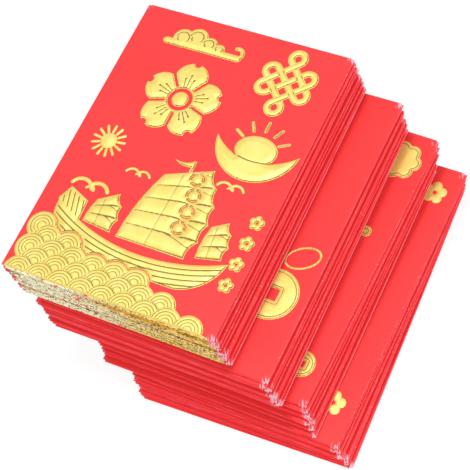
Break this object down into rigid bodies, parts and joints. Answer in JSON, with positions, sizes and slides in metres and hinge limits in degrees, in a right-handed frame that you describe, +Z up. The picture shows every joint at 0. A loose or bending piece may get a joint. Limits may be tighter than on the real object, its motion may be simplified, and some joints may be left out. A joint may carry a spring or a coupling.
{
  "type": "red envelope",
  "caption": "Staggered pile of red gift envelopes in fanned bundles with gold foil fronts; the bundles lift off, and the top envelope swings open on its closure flap.",
  "frame": {"origin": "on the surface that the pile stands on, in the middle of the pile's outline seen from above", "axes": "+X along the envelopes' width, the way the bundles step down; +Y along their height, towards the closure flap; +Z up"},
  "size_m": [0.1203, 0.1205, 0.0597],
  "materials": {
    "red_paper": "matt coated card, dyed red on a white core",
    "gold_foil": "hot-stamped gold foil, embossed"
  },
  "bodies": {
    "bundle_4": {"bundle_4_envelope_01": "red_paper", "bundle_4_envelope_02": "red_paper", "bundle_4_envelope_03": "red_paper", "bundle_4_envelope_04": "red_paper", "bundle_4_envelope_05": "red_paper", "bundle_4_envelope_06": "red_paper", "bundle_4_envelope_07": "red_paper", "bundle_4_envelope_08": "red_paper", "bundle_4_envelope_09": "red_paper", "bundle_4_foil": "gold_foil"},
    "bundle_3": {"bundle_3_envelope_01": "red_paper", "bundle_3_envelope_02": "red_paper", "bundle_3_envelope_03": "red_paper", "bundle_3_envelope_04": "red_paper", "bundle_3_envelope_05": "red_paper", "bundle_3_envelope_06": "red_paper", "bundle_3_envelope_07": "red_paper", "bundle_3_envelope_08": "red_paper", "bundle_3_envelope_09": "red_paper", "bundle_3_envelope_10": "red_paper", "bundle_3_foil": "gold_foil"},
    "bundle_2": {"bundle_2_envelope_01": "red_paper", "bundle_2_envelope_02": "red_paper", "bundle_2_envelope_03": "red_paper", "bundle_2_envelope_04": "red_paper", "bundle_2_envelope_05": "red_paper", "bundle_2_envelope_06": "red_paper", "bundle_2_envelope_07": "red_paper", "bundle_2_envelope_08": "red_paper", "bundle_2_envelope_09": "red_paper", "bundle_2_envelope_10": "red_paper", "bundle_2_envelope_11": "red_paper", "bundle_2_envelope_12": "red_paper", "bundle_2_envelope_13": "red_paper", "bundle_2_foil": "gold_foil"},
    "bundle_1": {"bundle_1_envelope_02": "red_paper", "bundle_1_envelope_03": "red_paper", "bundle_1_envelope_04": "red_paper", "bundle_1_envelope_05": "red_paper", "bundle_1_envelope_06": "red_paper", "bundle_1_envelope_07": "red_paper", "bundle_1_envelope_08": "red_paper", "bundle_1_envelope_09": "red_paper", "bundle_1_envelope_10": "red_paper", "bundle_1_envelope_11": "red_paper", "bundle_1_envelope_12": "red_paper", "bundle_1_envelope_13": "red_paper", "bundle_1_envelope_14": "red_paper"},
    "top_closure_flap": {"top_closure_flap": "red_paper"},
    "top_pocket": {"foil_ornaments": "gold_foil", "foil_sea": "gold_foil", "foil_ship": "gold_foil", "foil_sun_and_birds": "gold_foil", "top_back_left_panel": "red_paper", "top_back_right_panel": "red_paper", "top_bottom_flap": "red_paper", "top_bottom_fold": "red_paper", "top_front_panel": "red_paper", "top_left_fold": "red_paper", "top_right_fold": "red_paper"}
  },
  "joints": [
    {"name": "bundle_3_lift", "type": "slide", "parent": "bundle_4", "child": "bundle_3", "axis": [0, 0, 1], "range_m": [0, 0.04]},
    {"name": "bundle_2_lift", "type": "slide", "parent": "bundle_3", "child": "bundle_2", "axis": [0, 0, 1], "range_m": [0, 0.04]},
    {"name": "bundle_1_lift", "type": "slide", "parent": "bundle_2", "child": "bundle_1", "axis": [0, 0, 1], "range_m": [0, 0.04]},
    {"name": "top_envelope_lift", "type": "slide", "parent": "bundle_1", "child": "top_closure_flap", "axis": [0, 0, 1], "range_m": [0, 0.04]},
    {"name": "flap_hinge", "type": "hinge", "parent": "top_closure_flap", "child": "top_pocket", "pos_m": [0, 0.05932, 0.05905], "axis": [-1, 0, 0], "range_deg": [0, 175]}
  ]
}
